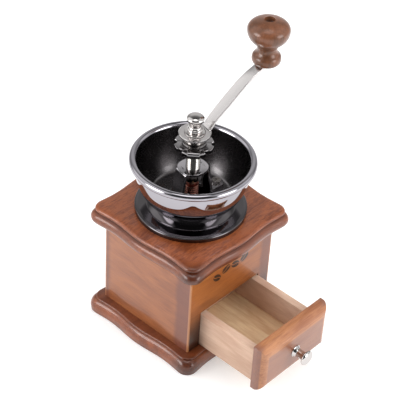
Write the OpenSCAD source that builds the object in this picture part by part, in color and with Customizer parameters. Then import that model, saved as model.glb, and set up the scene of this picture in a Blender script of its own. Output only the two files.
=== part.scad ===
// Hand-cranked box mill for coffee: wooden box with a drawer, metal hopper,
// conical burrs and a crank. Millimetres, +Z up. The origin is the middle of
// the base board's underside, and the drawer opens toward -Y.

/* [Box] */
// Outside width and depth of the box walls
body_w = 100; // [90:1:120]
// Thickness of the box walls
wall_t = 8; // [6:0.5:10]
// Height of the box walls
wall_h = 84; // [78:1:110]
// Thickness of the base board
base_t = 15; // [12:0.5:20]
// Thickness of the top board
top_t = 17; // [14:0.5:22]
// How far the boards stand out beyond the walls
board_over = 11.2; // [8:0.2:14]
// Depth of the waves along each board edge
board_wave = 1.2; // [0:0.1:2]
// Radius of the boards' corners
board_corner_r = 9; // [5:0.5:14]

/* [Drawer] */
// Outside width of the drawer box
drawer_w = 71.2; // [60:0.2:74]
// Height of the drawer box
drawer_h = 34.6; // [26:0.2:40]
// Length of the drawer box behind its front panel
drawer_len = 89; // [80:0.5:90]
// Thickness of the drawer's sides and back
drawer_t = 7; // [5:0.5:9]
// Thickness of the drawer's floor
drawer_floor_t = 4; // [3:0.5:6]
// Height of the drawer floor's underside over the drawer's bottom edge
drawer_floor_up = 4; // [2:0.5:6]
// How far the drawer stands open at rest
drawer_open = 63.4; // [20:0.2:70]
// Width of the drawer's front panel
panel_w = 84; // [80:1:90]
// Height of the drawer's front panel
panel_h = 46; // [42:1:54]
// Thickness of the drawer's front panel
panel_t = 11; // [9:0.5:14]
// Width of the rounded border round the panel's face
panel_round = 8; // [4:0.5:10]
// Clearance between the drawer and the opening on each side
drawer_gap = 0.6; // [0.3:0.1:1]
// Clearance above the drawer in the opening
drawer_head_gap = 2; // [1:0.2:3]
// Largest radius of the drawer's knob
pull_r = 7; // [5:0.2:8]
// Length of the drawer's knob
pull_len = 15; // [12:0.5:20]
// Radius of the screw that holds the drawer's knob
pull_screw_r = 2; // [1.5:0.25:2.5]

/* [Hopper] */
// Outer radius of the hopper's rim
rim_r = 52.7; // [48:0.1:56]
// Height of the rim's middle above the top board
rim_up = 49; // [44:1:60]
// Radius of the rolled lip
lip_r = 3.1; // [2:0.1:3.5]
// Outer radius of the bowl where it meets its foot
waist_r = 31; // [29:0.5:33]
// Height of the waist above the top board
waist_up = 6.5; // [5:0.5:9]
// Wall thickness of the bowl and its foot
shell_t = 1.6; // [1.2:0.1:2.2]
// Height of the bowl's floor above the top board
floor_up = 12; // [11:0.5:13]
// Radius of the hole in the bowl's floor
feed_r = 18; // [16:0.5:19]
// Outer radius of the foot
foot_r = 47.2; // [44:0.2:50]
// Height of the foot's upright edge
foot_edge_h = 4.4; // [3:0.2:5]

/* [Bridge] */
// Radius of the bridge's round top, before its sides are cut straight
boss_r = 14; // [12:0.5:15]
// Width of the bridge's top across its legs
boss_w = 23.4; // [20:0.2:25]
// Distance of the bends, where the legs leave the top, from the shaft
bend_r = 12.5; // [11:0.25:13]
// Distance of the legs' outer faces from the shaft at the bowl's floor
leg_r = 17.5; // [16:0.5:19]
// Width of the legs
leg_w = 13; // [11:0.5:15]
// Height of the bridge's top above the bowl's floor
boss_up = 30.5; // [26:0.5:34]
// Thickness of the plate that the bridge is bent from
ear_t = 2.5; // [2:0.25:3]
// Distance of the bridge's screws from the shaft
ear_r = 26.7; // [25:0.1:27.5]
// Width of the bridge's feet
ear_w = 12; // [10:0.5:14]
// Turn of the bridge about the shaft, in degrees
bridge_turn = -8; // [-20:1:20]
// Radius of the bridge's screws
bridge_screw_r = 2; // [1.5:0.25:2.5]
// Radius of the threaded post
post_r = 6; // [5.5:0.1:7]
// Radius of the post's plain bush under the bridge
bush_r = 4.9; // [4.8:0.1:5.3]
// How far the bush reaches below the bridge's top
bush_l = 15; // [8:0.5:18]

/* [Crank] */
// Radius of the shaft
shaft_r = 4; // [3.5:0.1:4.5]
// Radius of the adjusting wheel
wheel_r = 16.3; // [14:0.1:18]
// Thickness of the adjusting wheel
wheel_t = 4; // [3:0.5:6]
// Height of the adjusting wheel above the bridge's boss
wheel_up = 20; // [18:0.5:22]
// Number of notches in the adjusting wheel
wheel_notches = 8; // [6:1:12]
// Radius of the notches
notch_r = 2.8; // [2:0.1:3.2]
// Thickness of the lock plate
plate_t = 1.5; // [1:0.25:2]
// Height of the thrust collar between the lock plate and the crank's disc
collar_h = 6.4; // [4:0.2:8]
// Width of the lock plate's tab
tab_w = 10.4; // [8:0.2:12]
// Radius of the disc at the crank's root
hub_r = 13.3; // [12:0.1:15]
// Thickness of the crank arm
arm_t = 2; // [1.5:0.25:3]
// Width of the crank arm
arm_w = 10.2; // [7:0.2:11]
// Distance from the shaft to the handle
crank_r = 69; // [66:1:80]
// Height of the crank's outer end above its disc
crank_rise = 42; // [36:1:50]
// Direction of the crank at rest, in degrees from +X
crank_turn = -10; // [-30:5:30]
// Direction of the lock plate's tab, in degrees from +X
tab_turn = 221; // [180:1:270]
// Radius of the rounded cap on the hub nut
ball_r = 7.3; // [6:0.1:8]
// Height of the hub nut
ball_nut_h = 15.6; // [14:0.2:18]
// Largest travel of the grind adjustment, up and down
lift = 1.5; // [1:0.25:1.5]

/* [Handle] */
// Radius of the handle's head
knob_r = 17.5; // [15:0.5:20]
// Height of the handle
knob_h = 40.5; // [36:0.5:46]
// Radius of the bead at the handle's foot
knob_foot_r = 12.1; // [11:0.1:14]
// Radius of the handle's neck
knob_neck_r = 8.3; // [8:0.1:10]
// Radius of the bolt through the handle
axle_r = 2.5; // [2:0.25:3]

/* [Burrs] */
// Outer radius of the fixed burr's body
burr_r = 22.5; // [21.5:0.5:23.5]
// Height of the fixed burr
burr_h = 29.4; // [26:0.2:34]
// Radius of the fixed burr's flange
burr_flange_r = 29; // [28.6:0.1:29.4]
// Thickness of the fixed burr's flange
burr_flange_t = 6; // [4:0.5:6]
// Inner radius of the fixed burr at its top
burr_in_top_r = 16; // [15:0.5:17]
// Inner radius of the fixed burr at its bottom
burr_in_low_r = 20; // [19:0.5:20.5]
// Top radius of the turning burr
cone_top_r = 8; // [7:0.5:10]
// Gap between the burrs at their lower edge
grind_gap = 0.9; // [0.7:0.1:1.5]
// Number of teeth cut in each burr
burr_teeth = 12; // [8:1:16]

/* [Fits] */
// Running clearance of shafts and threads, on the radius
run_fit = 0.05; // [0.03:0.01:0.1]
// Clearance between parts that slide or turn past each other
slip = 0.3; // [0.2:0.05:0.5]
// Clearance of screws in their holes, on the radius
screw_fit = 0.05; // [0.02:0.01:0.2]

/* [Hidden] */
$fn = 64;

// Levels, from the ground up
deck_z = base_t + wall_h + top_t;
hopper_floor_z = deck_z + floor_up;
boss_z = hopper_floor_z + boss_up;
wheel_z = boss_z + wheel_up;
plate_z = wheel_z + wheel_t + slip;
collar_z = plate_z + plate_t + slip;
disc_z = collar_z + collar_h;
disc_top_z = disc_z + arm_t;
washer_t = 1.4;
nut_z = disc_top_z + washer_t;
crank_end_z = disc_top_z + crank_rise;
knob_z = crank_end_z + slip;
post_top_z = disc_z - lift - 0.5;
post_low_z = boss_z - bush_l;
flats_low_z = plate_z - lift - 1;
floor_low_z = hopper_floor_z - shell_t;
burr_low_z = floor_low_z - burr_h;
cone_low_z = burr_low_z + 2;
cone_top_z = hopper_floor_z - 1;

// Boards: half width, and the wave's half period along an edge
board_half = body_w / 2 + board_over;
wave_reach = board_half * 0.52;
bead_dips = [0, 1.2, 2.6, 4.4];
edge_points = 24;
corner_points = 8;
bowl_rings = 14;
bell_power = 2.5;

// Walls
inner_half = body_w / 2 - wall_t;
wall_z = base_t;
opening_w = drawer_w + 2 * drawer_gap;
opening_h = drawer_h + slip + drawer_head_gap;

// Drawer at rest: its front panel's back lies drawer_open ahead of the wall
drawer_z = base_t + slip;
panel_y = -body_w / 2 - drawer_open;
panel_z = base_t + 2 * slip;
drawer_in_w = drawer_w - 2 * drawer_t;
panel_steps = 5;
pull_z = panel_z + panel_h * 0.45;

// Screws
base_screw_r = 1.75;
base_screw_l = 26;
base_screw_head_r = 3.5;
base_screw_head_h = 2.2;
base_screw_x = body_w / 2 - wall_t / 2;
base_screw_y = body_w * 0.32;
bridge_screw_l = 30;
bridge_head_r = 3.9;
bridge_head_h = 2.4;
bridge_screw_tip_z = hopper_floor_z + ear_t - bridge_screw_l;

// Shaft
square_w = shaft_r * 1.4;
nut_thread_r = shaft_r * 0.62;
shaft_low_z = cone_low_z - 11;
shaft_top_z = nut_z + 11;
tongue_w = 2 * (post_r - 1);

// Knob bolt
axle_head_r = 3.9;
axle_head_h = 2.6;
bolt_recess_r = 4.3;
bolt_recess_h = 6;
arm_end_r = 6.6;

// Spring between the bridge and the turning burr
spring_wire_r = 0.8;
spring_r = shaft_r + spring_wire_r + 0.45;
spring_turns = 6;
spring_sides = 8;
spring_steps = 16;
spring_low_z = cone_top_z + spring_wire_r;
spring_high_z = post_low_z - lift - spring_wire_r - slip;

// ---------- helpers ----------

// Half width of a board at distance s along its edge: waves with a full bulge
// at the middle and a dip at wave_reach on each side of it
function edge_bulge(s) = board_wave * cos(180 * s / wave_reach);

// Points of one board edge (facing +Y before turning), from corner to corner
function board_edge(half, corner) = [
    for (i = [0 : edge_points])
        let (s = -(half - corner) + 2 * (half - corner) * i / edge_points)
        [-s, half + edge_bulge(s)]
];

// Points of the rounded corner that follows an edge
function board_corner(half, corner) =
    let (lead = half + edge_bulge(half - corner) - corner)
    [
        for (i = [1 : corner_points - 1])
            let (a = 90 + 90 * i / corner_points)
            [-(half - corner) + (corner + lead - half + corner) * cos(a),
             (half - corner) + (corner + lead - half + corner) * sin(a)]
    ];

function turned(p, a) = [p[0] * cos(a) - p[1] * sin(a), p[0] * sin(a) + p[1] * cos(a)];

// Wavy square with half width half, drawn in by dip
function board_outline(dip) =
    let (half = board_half - dip, corner = board_corner_r)
    [
        for (side = [0 : 3])
            for (p = concat(board_edge(half, corner), board_corner(half, corner)))
                turned(p, 90 * side)
    ];

module board_slab(dip, z0, z1) {
    translate([0, 0, z0])
        linear_extrude(z1 - z0)
            polygon(board_outline(dip));
}

// Cylinder from height z0 to z1
module rod(r, z0, z1) {
    translate([0, 0, z0])
        cylinder(h = z1 - z0, r = r);
}

module at_ears() {
    for (a = [0, 180])
        rotate(a + bridge_turn)
            translate([ear_r, 0, 0])
                children();
}

module at_base_screws() {
    for (x = [-base_screw_x, base_screw_x])
        for (y = [-base_screw_y, base_screw_y])
            translate([x, y, 0])
                children();
}

// Points of an arc round centre c, from angle a0 to a1
function arc(c, r, a0, a1, n = 8) = [
    for (i = [0 : n])
        let (a = a0 + (a1 - a0) * i / n)
        [c[0] + r * cos(a), c[1] + r * sin(a)]
];

// Points of an upright ellipse quarter or half
function oval(c, rx, rz, a0, a1, n = 10) = [
    for (i = [0 : n])
        let (a = a0 + (a1 - a0) * i / n)
        [c[0] + rx * cos(a), c[1] + rz * sin(a)]
];

// ---------- box ----------

module base_board() {
    color("#8d5f4a")
        difference() {
            union() {
                board_slab(bead_dips[0], 0, base_t * 0.45);
                board_slab(bead_dips[1], base_t * 0.45, base_t * 0.65);
                board_slab(bead_dips[2], base_t * 0.65, base_t * 0.85);
                board_slab(bead_dips[3], base_t * 0.85, base_t);
            }
            at_base_screws() {
                rod(base_screw_r + screw_fit, -1, base_t + 1);
                rod(base_screw_head_r + screw_fit, -1, base_screw_head_h + slip);
            }
        }
}

// Wood screws that hold the side walls down on the base board
module base_screws() {
    color("#9a958e")
        at_base_screws() {
            rod(base_screw_head_r, slip, base_screw_head_h + slip);
            rod(base_screw_r, slip, base_screw_l);
        }
}

// One wall facing -Y before turning: its ends are mitred into its neighbours
module mitred_wall(turn) {
    translate([0, 0, wall_z])
        rotate(turn)
            linear_extrude(wall_h)
                polygon([[-body_w / 2, -body_w / 2], [body_w / 2, -body_w / 2],
                         [inner_half, -inner_half], [-inner_half, -inner_half]]);
}

module side_wall(sign) {
    difference() {
        mitred_wall(90 * sign);
        at_base_screws()
            rod(base_screw_r + screw_fit, wall_z - 1, base_screw_l + slip);
    }
}

module left_wall() {
    color("#b0836b") side_wall(-1);
}

module right_wall() {
    color("#b0836b") side_wall(1);
}

module back_wall() {
    color("#a97c63")
        mitred_wall(180);
}

module front_wall() {
    color("#a97c63")
        difference() {
            mitred_wall(0);
            translate([-opening_w / 2, -body_w / 2 - 1, wall_z - 1])
                cube([opening_w, wall_t + 2, opening_h + 1]);
        }
}

module top_board() {
    low = base_t + wall_h;
    color("#a8714f")
        difference() {
            union() {
                board_slab(bead_dips[2], low, low + top_t * 0.16);
                board_slab(bead_dips[0], low + top_t * 0.16, low + top_t * 0.66);
                board_slab(bead_dips[2], low + top_t * 0.66, low + top_t * 0.78);
                board_slab(bead_dips[1] * 2, low + top_t * 0.78, low + top_t * 0.9);
                board_slab(bead_dips[3], low + top_t * 0.9, deck_z);
            }
            rod(burr_r + 0.5, low - 1, deck_z + 1);
            at_ears()
                rod(bridge_screw_r + screw_fit, bridge_screw_tip_z - slip, deck_z + 1);
        }
}

// ---------- hopper ----------

// Outer radius of the bowl at height z: a bell that steepens toward its rim,
// where its sheet runs into the inner side of the rolled lip
function bowl_r(z) =
    let (
        z0 = deck_z + waist_up,
        left_over = 1 - max(0, z - z0) / (deck_z + rim_up - z0),
        throat_r = rim_r - 2 * lip_r + shell_t
    )
    throat_r - (throat_r - waist_r) * pow(left_over, bell_power);

module hopper_bowl() {
    z0 = deck_z + waist_up;
    z1 = deck_z + rim_up;
    rows = [for (i = [0 : bowl_rings]) z0 + (z1 - z0) * i / bowl_rings];
    lip_c = [rim_r - lip_r, z1];
    outer = [for (z = rows) [bowl_r(z), z]];
    inner = [
        for (i = [bowl_rings : -1 : 0])
            if (rows[i] > hopper_floor_z + 1) [bowl_r(rows[i]) - shell_t, rows[i]]
    ];
    color("#2a2829")
        difference() {
            rotate_extrude($fn = 96)
                union() {
                    polygon(concat(
                        outer,
                        inner,
                        [
                            [bowl_r(hopper_floor_z) - shell_t, hopper_floor_z],
                            [feed_r, hopper_floor_z],
                            [feed_r, floor_low_z],
                            [bowl_r(floor_low_z) - shell_t, floor_low_z],
                            [waist_r - shell_t, z0]
                        ]
                    ));
                    polygon(arc(lip_c, lip_r, -60, 210, 14));
                }
            at_ears()
                rod(bridge_screw_r + screw_fit, floor_low_z - 1, hopper_floor_z + 1);
        }
}

// Flared sheet foot: an upright edge, a flat flange and a cove up to the neck
module hopper_foot() {
    z_top = deck_z + waist_up;
    edge_top = deck_z + foot_edge_h;
    edge_round = 1.2;
    neck_r = waist_r + 2.2;
    neck_in_r = burr_flange_r + 0.6;
    cove_r = waist_up - foot_edge_h + 0.6;
    color("#1c1b1d")
        rotate_extrude($fn = 96)
            polygon(concat(
                [[foot_r, deck_z]],
                arc([foot_r - edge_round, edge_top - edge_round], edge_round, 0, 90, 4),
                arc([neck_r + cove_r, edge_top + cove_r - 0.2], cove_r, 270, 190, 6),
                [[neck_r - 0.8, z_top], [neck_in_r, z_top],
                 [neck_in_r, z_top - 1.8 * shell_t],
                 [foot_r - 2 * shell_t, edge_top - 1.4 * shell_t],
                 [foot_r - shell_t, deck_z]]
            ));
}

// ---------- burrs ----------

// Fixed burr: a flanged ring with a cone-shaped, fluted bore
module outer_burr() {
    top = floor_low_z;
    color("#4a4a4c")
        difference() {
            union() {
                rod(burr_r, burr_low_z, top);
                rod(burr_flange_r, top - burr_flange_t, top);
            }
            translate([0, 0, burr_low_z])
                cylinder(h = burr_h, r1 = burr_in_low_r, r2 = burr_in_top_r);
            rod(burr_in_low_r, burr_low_z - 1, burr_low_z);
            rod(burr_in_top_r, top, top + 1);
            for (i = [0 : burr_teeth - 1])
                rotate(360 * i / burr_teeth)
                    translate([0, -0.6, burr_low_z + 6])
                        cube([burr_in_top_r + 1.5, 1.2, burr_h]);
            at_ears()
                rod(bridge_screw_r + screw_fit, burr_low_z - 1, top + 1);
        }
}

// Radius of the fixed burr's bore at height z
function bore_r(z) =
    burr_in_low_r + (burr_in_top_r - burr_in_low_r) * (z - burr_low_z) / burr_h;

// Turning burr: a fluted cone that widens downward
module inner_burr() {
    low_r = bore_r(cone_low_z) - grind_gap;
    cone_h = cone_top_z - cone_low_z;
    slope = atan((low_r - cone_top_r) / cone_h);
    flute_w = 1.6;
    flute_deep = 1.5;
    color("#55555a")
        difference() {
            translate([0, 0, cone_low_z])
                cylinder(h = cone_h, r1 = low_r, r2 = cone_top_r);
            rod(shaft_r + run_fit, cone_low_z - 1, cone_top_z + 1);
            for (i = [0 : burr_teeth - 1])
                rotate(360 * i / burr_teeth)
                    translate([low_r - flute_deep, -flute_w / 2, cone_low_z])
                        rotate([0, -slope, 0])
                            translate([0, 0, 4])
                                cube([2 * flute_deep, flute_w, 2 * cone_h]);
        }
}

module burr_washer() {
    color("#b9b6b0")
        difference() {
            rod(shaft_r * 2.2, cone_low_z - 1.4, cone_low_z);
            rod(shaft_r + run_fit, cone_low_z - 2, cone_low_z + 1);
        }
}

module burr_nut() {
    color("#b9b6b0")
        difference() {
            translate([0, 0, cone_low_z - 7.4])
                cylinder(h = 6, r = shaft_r * 1.85, $fn = 6);
            rod(shaft_r + run_fit, cone_low_z - 8, cone_low_z);
        }
}

// ---------- bridge ----------

// Side view of the plate bent into two legs and a top: distance from the shaft
// against height
function bridge_side() =
    let (low = hopper_floor_z, leg_in = leg_r - ear_t, bend_in = bend_r - ear_t)
    [
        [-leg_r, low], [-bend_r, boss_z], [bend_r, boss_z], [leg_r, low],
        [leg_in, low], [bend_in, boss_z - ear_t], [-bend_in, boss_z - ear_t], [-leg_in, low]
    ];

// Bridge of bent plate: a top that is wider than the legs, and feet outside them
module bridge() {
    low = hopper_floor_z;
    color("#1e1c1d")
        difference() {
            rotate(bridge_turn)
                union() {
                    translate([0, leg_w / 2, 0])
                        rotate([90, 0, 0])
                            linear_extrude(leg_w)
                                polygon(bridge_side());
                    intersection() {
                        rod(boss_r, boss_z - ear_t, boss_z);
                        translate([-bend_r, -boss_w / 2, boss_z - 2 * ear_t])
                            cube([2 * bend_r, boss_w, 4 * ear_t]);
                    }
                    for (a = [0, 180])
                        rotate(a) {
                            translate([leg_r - ear_t, -ear_w / 2, low])
                                cube([ear_r - leg_r + ear_t, ear_w, ear_t]);
                            translate([ear_r, 0, 0])
                                rod(ear_w / 2, low, low + ear_t);
                        }
                }
            rod(post_r + screw_fit, boss_z - 2 * ear_t, boss_z + 1);
            at_ears()
                rod(bridge_screw_r + screw_fit, low - 1, low + ear_t + 1);
        }
}

// Round-headed cross-slot screws through the bridge's feet, the bowl's floor
// and the fixed burr into the top board
module bridge_screws() {
    head_z = hopper_floor_z + ear_t;
    color("#c4c1bc")
        at_ears()
            difference() {
                union() {
                    rod(bridge_screw_r, bridge_screw_tip_z, head_z);
                    rod(bridge_head_r, head_z, head_z + bridge_head_h);
                }
                for (a = [0, 90])
                    rotate(a)
                        translate([-2.2, -0.45, head_z + 1.2])
                            cube([4.4, 0.9, 2]);
            }
}

// Threaded post with two flats at its top, fixed in the bridge's top, and a
// plain bush that carries the shaft below it
module threaded_post() {
    color("#c4c1bc")
        difference() {
            union() {
                rod(post_r, boss_z - ear_t, post_top_z);
                rod(bush_r, post_low_z, boss_z);
            }
            rod(shaft_r + run_fit, post_low_z - 1, post_top_z + 1);
            rotate(tab_turn)
                for (side = [0, 180])
                    rotate(side)
                        translate([tongue_w / 2, -post_r, flats_low_z])
                            cube([post_r, 2 * post_r, post_top_z - flats_low_z + 1]);
        }
}

// ---------- grind adjustment ----------

module adjusting_wheel() {
    color("#2f2d2d")
        difference() {
            rod(wheel_r, wheel_z, wheel_z + wheel_t);
            rod(post_r + run_fit, wheel_z - 1, wheel_z + wheel_t + 1);
            for (i = [0 : wheel_notches - 1])
                rotate(360 * i / wheel_notches + tab_turn)
                    translate([wheel_r + 0.4, 0, 0])
                        rod(notch_r, wheel_z - 1, wheel_z + wheel_t + 1);
        }
}

// Plate keyed to the post's flats, with a tab bent down outside the wheel
module lock_plate() {
    reach = wheel_r + slip;
    color("#353332")
        difference() {
            rotate(tab_turn)
                union() {
                    rod(hub_r * 0.75, plate_z, plate_z + plate_t);
                    translate([0, -tab_w / 2, plate_z])
                        cube([reach + plate_t, tab_w, plate_t]);
                    translate([reach, -tab_w / 2, wheel_z + 1])
                        cube([plate_t, tab_w, wheel_t + slip + plate_t - 1]);
                }
            rotate(tab_turn)
                intersection() {
                    rod(post_r + run_fit, plate_z - 1, plate_z + plate_t + 1);
                    translate([0, 0, plate_z])
                        cube([tongue_w + 2 * run_fit, 3 * post_r, 3 * plate_t], center = true);
                }
        }
}

// ---------- crank ----------

module thrust_collar() {
    color("#b9b6b0")
        difference() {
            rod(post_r + 2, collar_z, disc_z);
            rod(post_r + slip, collar_z - 1, disc_z + 1);
        }
}

// Centre line of the crank arm in its own plane: distance and height
arm_line = [
    [hub_r - 3.5, disc_z],
    [hub_r - 0.5, disc_z + 1.2],
    [crank_r * 0.25, disc_z + crank_rise * 0.17],
    [crank_r * 0.46, disc_z + crank_rise * 0.465],
    [crank_r * 0.66, disc_z + crank_rise * 0.75],
    [crank_r * 0.76, disc_z + crank_rise * 0.865],
    [crank_r * 0.86, disc_z + crank_rise * 0.95],
    [crank_r * 0.93, disc_z + crank_rise],
    [crank_r, disc_z + crank_rise]
];

// Unit normal of the arm's centre line at point i
function arm_dir(i) =
    let (a = arm_line[max(0, i - 1)], b = arm_line[min(len(arm_line) - 1, i + 1)], d = b - a)
    d / norm(d);
function arm_off(i, t) = arm_line[i] + t * [-arm_dir(i)[1], arm_dir(i)[0]];

module crank_arm() {
    last = len(arm_line) - 1;
    color("#d6d4d2")
        rotate(crank_turn)
            difference() {
                union() {
                    rod(hub_r, disc_z, disc_top_z);
                    translate([0, arm_w / 2, 0])
                        rotate([90, 0, 0])
                            linear_extrude(arm_w)
                                polygon(concat(
                                    [for (i = [0 : last]) arm_off(i, 0)],
                                    [for (i = [last : -1 : 0]) arm_off(i, arm_t)]
                                ));
                    translate([crank_r, 0, 0])
                        rod(arm_end_r, crank_end_z - arm_t, crank_end_z);
                }
                translate([-square_w / 2 - run_fit, -square_w / 2 - run_fit, disc_z - 1])
                    cube([square_w + 2 * run_fit, square_w + 2 * run_fit, arm_t + 2]);
                translate([crank_r, 0, 0])
                    rod(axle_r + screw_fit, crank_end_z - arm_t - 1, crank_end_z + 1);
            }
}

module hub_washer() {
    color("#cfccca")
        difference() {
            rod(hub_r * 0.66, disc_top_z, nut_z);
            rod(shaft_r + run_fit, disc_top_z - 1, nut_z + 1);
        }
}

// Nut with a bead at its foot, a waist and a flattened ball for a cap
module ball_nut() {
    bead_r = ball_r * 0.87;
    waist = ball_r * 0.66;
    cap_z = nut_z + ball_nut_h * 0.79;
    cap_low = ball_nut_h * 0.42;
    color("#dedcdb")
        difference() {
            rotate_extrude()
                polygon(concat(
                    [[0, nut_z]],
                    arc([bead_r - 1.6, nut_z + 1.6], 1.6, -75, 75, 8),
                    [[waist, nut_z + ball_nut_h * 0.26], [waist, nut_z + ball_nut_h * 0.4]],
                    oval([0, cap_z], ball_r, cap_low, -48, 0, 8),
                    oval([0, cap_z], ball_r, nut_z + ball_nut_h - cap_z, 9, 81, 8),
                    [[0, nut_z + ball_nut_h]]
                ));
            rod(nut_thread_r + run_fit, nut_z - 1, shaft_top_z + 0.5);
        }
}

// Round shaft with a square for the crank and a thread for the ball nut
module spindle_shaft() {
    color("#b8b4b0")
        union() {
            rod(shaft_r, shaft_low_z, disc_z);
            rotate(crank_turn)
                translate([-square_w / 2, -square_w / 2, disc_z - 1])
                    cube([square_w, square_w, nut_z - disc_z + 1]);
            rod(nut_thread_r, disc_z - 1, shaft_top_z);
        }
}

// Points of one ring of the spring's wire, at step k
function spring_ring(k) =
    let (
        turn = 360 * k / spring_steps,
        z = spring_low_z
            + (spring_high_z - spring_low_z) * k / (spring_turns * spring_steps)
    )
    [
        for (s = [0 : spring_sides - 1])
            let (
                b = 360 * s / spring_sides,
                r = spring_r + spring_wire_r * cos(b)
            )
            [r * cos(turn), r * sin(turn), z + spring_wire_r * sin(b)]
    ];

module burr_spring() {
    rings = spring_turns * spring_steps;
    points = [for (k = [0 : rings]) for (p = spring_ring(k)) p];
    sides = [
        for (k = [0 : rings - 1])
            for (s = [0 : spring_sides - 1])
                let (
                    a = k * spring_sides + s,
                    b = k * spring_sides + (s + 1) % spring_sides
                )
                [a, a + spring_sides, b + spring_sides, b]
    ];
    low_end = [for (s = [0 : spring_sides - 1]) s];
    high_end = [for (s = [spring_sides - 1 : -1 : 0]) rings * spring_sides + s];
    color("#a0624c")
        polyhedron(points, concat(sides, [low_end, high_end]));
}

// ---------- handle ----------

module handle_bolt() {
    z_head = knob_z + knob_h - bolt_recess_h;
    color("#8e8a86")
        rotate(crank_turn)
            translate([crank_r, 0, 0]) {
                rod(axle_r, crank_end_z - arm_t, z_head);
                rod(axle_head_r, z_head, z_head + axle_head_h);
                rod(axle_head_r, crank_end_z - arm_t - 1.4, crank_end_z - arm_t);
            }
}

// Turned wooden knob: foot bead, neck and a flattened ball with a recess
module handle_knob() {
    head_z = knob_z + knob_h * 0.78;
    color("#9a6a50")
        rotate(crank_turn)
            translate([crank_r, 0, 0])
                difference() {
                    rotate_extrude()
                        polygon(concat(
                            [[0, knob_z], [knob_foot_r - 2, knob_z]],
                            oval([knob_foot_r - 3, knob_z + 4.6], 3, 4.6, -60, 75, 8),
                            oval([knob_neck_r + 3, knob_z + 14], 3, 4, 210, 150, 4),
                            oval([0, head_z], knob_r, knob_h * 0.36, -55, 0, 8),
                            oval([0, head_z], knob_r, knob_h * 0.22, 8, 86, 9),
                            [[0, knob_z + knob_h]]
                        ));
                    rod(axle_r + run_fit, knob_z - 1, knob_z + knob_h);
                    rod(bolt_recess_r, knob_z + knob_h - bolt_recess_h - slip,
                        knob_z + knob_h + 1);
                }
}

// ---------- drawer ----------

module drawer_front() {
    color("#9c7262")
        difference() {
            hull()
                for (i = [0 : panel_steps])
                    let (
                        a = 90 * i / panel_steps,
                        dip = panel_round * (1 - cos(a)),
                        out = (panel_t - 3) * sin(a)
                    )
                    translate([-panel_w / 2 + dip, panel_y - 3 - out, panel_z + dip])
                        cube([panel_w - 2 * dip, 3, panel_h - 2 * dip]);
            translate([0, panel_y - panel_t - 1, pull_z])
                rotate([-90, 0, 0])
                    cylinder(h = panel_t + 2, r = pull_screw_r + screw_fit);
        }
}

module drawer_side(sign) {
    translate([sign > 0 ? drawer_w / 2 - drawer_t : -drawer_w / 2, panel_y, drawer_z])
        cube([drawer_t, drawer_len, drawer_h]);
}

module drawer_left_side() {
    color("#c8a794") drawer_side(-1);
}

module drawer_right_side() {
    color("#c8a794") drawer_side(1);
}

module drawer_back() {
    color("#c4a08a")
        translate([-drawer_in_w / 2, panel_y + drawer_len - drawer_t, drawer_z])
            cube([drawer_in_w, drawer_t, drawer_h]);
}

module drawer_floor() {
    color("#c9a98f")
        translate([-drawer_in_w / 2, panel_y, drawer_z + drawer_floor_up])
            cube([drawer_in_w, drawer_len - drawer_t, drawer_floor_t]);
}

// Small mushroom knob, turned about the screw's axis
module drawer_knob() {
    neck = pull_r * 0.52;
    head = pull_len * 0.78;
    color("#d6d4d2")
        translate([0, panel_y - panel_t, pull_z])
            rotate([90, 0, 0])
                difference() {
                    rotate_extrude()
                        polygon(concat(
                            [[0, 0], [pull_r * 0.85, 0], [pull_r * 0.85, 1.2]],
                            [[neck, 3], [neck, pull_len * 0.62]],
                            oval([0, head], pull_r, pull_len * 0.11, -55, 0, 4),
                            oval([0, head], pull_r, pull_len - head, 15, 75, 5),
                            [[0, pull_len]]
                        ));
                    rod(pull_screw_r + run_fit, -1, pull_len * 0.6);
                }
}

module drawer_knob_screw() {
    head_h = 1.8;
    color("#c4c1bc")
        translate([0, 0, pull_z])
            rotate([90, 0, 0]) {
                rod(pull_screw_r, -panel_y, -panel_y + panel_t + pull_len * 0.5);
                rod(pull_screw_r * 2, -panel_y - head_h, -panel_y);
            }
}

base_board();
base_screws();
left_wall();
right_wall();
back_wall();
front_wall();
top_board();
hopper_foot();
hopper_bowl();
outer_burr();
bridge();
bridge_screws();
threaded_post();
adjusting_wheel();
lock_plate();
thrust_collar();
crank_arm();
hub_washer();
ball_nut();
spindle_shaft();
burr_spring();
inner_burr();
burr_washer();
burr_nut();
handle_bolt();
handle_knob();
drawer_front();
drawer_left_side();
drawer_right_side();
drawer_back();
drawer_floor();
drawer_knob();
drawer_knob_screw();
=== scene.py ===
"""Hand-cranked box mill for coffee: the pieces' surfaces and finishes round the solid model."""
import math

import bmesh
import bpy
import numpy as np
from mathutils import Matrix, Vector


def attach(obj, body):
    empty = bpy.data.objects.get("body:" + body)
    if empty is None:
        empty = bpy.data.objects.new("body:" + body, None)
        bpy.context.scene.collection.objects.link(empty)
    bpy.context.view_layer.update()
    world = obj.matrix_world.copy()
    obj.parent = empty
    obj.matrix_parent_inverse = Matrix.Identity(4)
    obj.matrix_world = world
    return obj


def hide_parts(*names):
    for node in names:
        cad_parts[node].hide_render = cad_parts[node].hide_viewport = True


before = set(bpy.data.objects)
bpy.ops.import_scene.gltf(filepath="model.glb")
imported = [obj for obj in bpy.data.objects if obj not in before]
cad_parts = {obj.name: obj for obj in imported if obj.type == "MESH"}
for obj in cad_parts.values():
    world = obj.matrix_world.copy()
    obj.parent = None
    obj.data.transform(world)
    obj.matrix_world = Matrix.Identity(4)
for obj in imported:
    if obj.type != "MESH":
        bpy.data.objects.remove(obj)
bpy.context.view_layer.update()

MM = 0.001
RAD = math.pi / 180

# ---------------------------------------------------------------- sizes, mm

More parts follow.
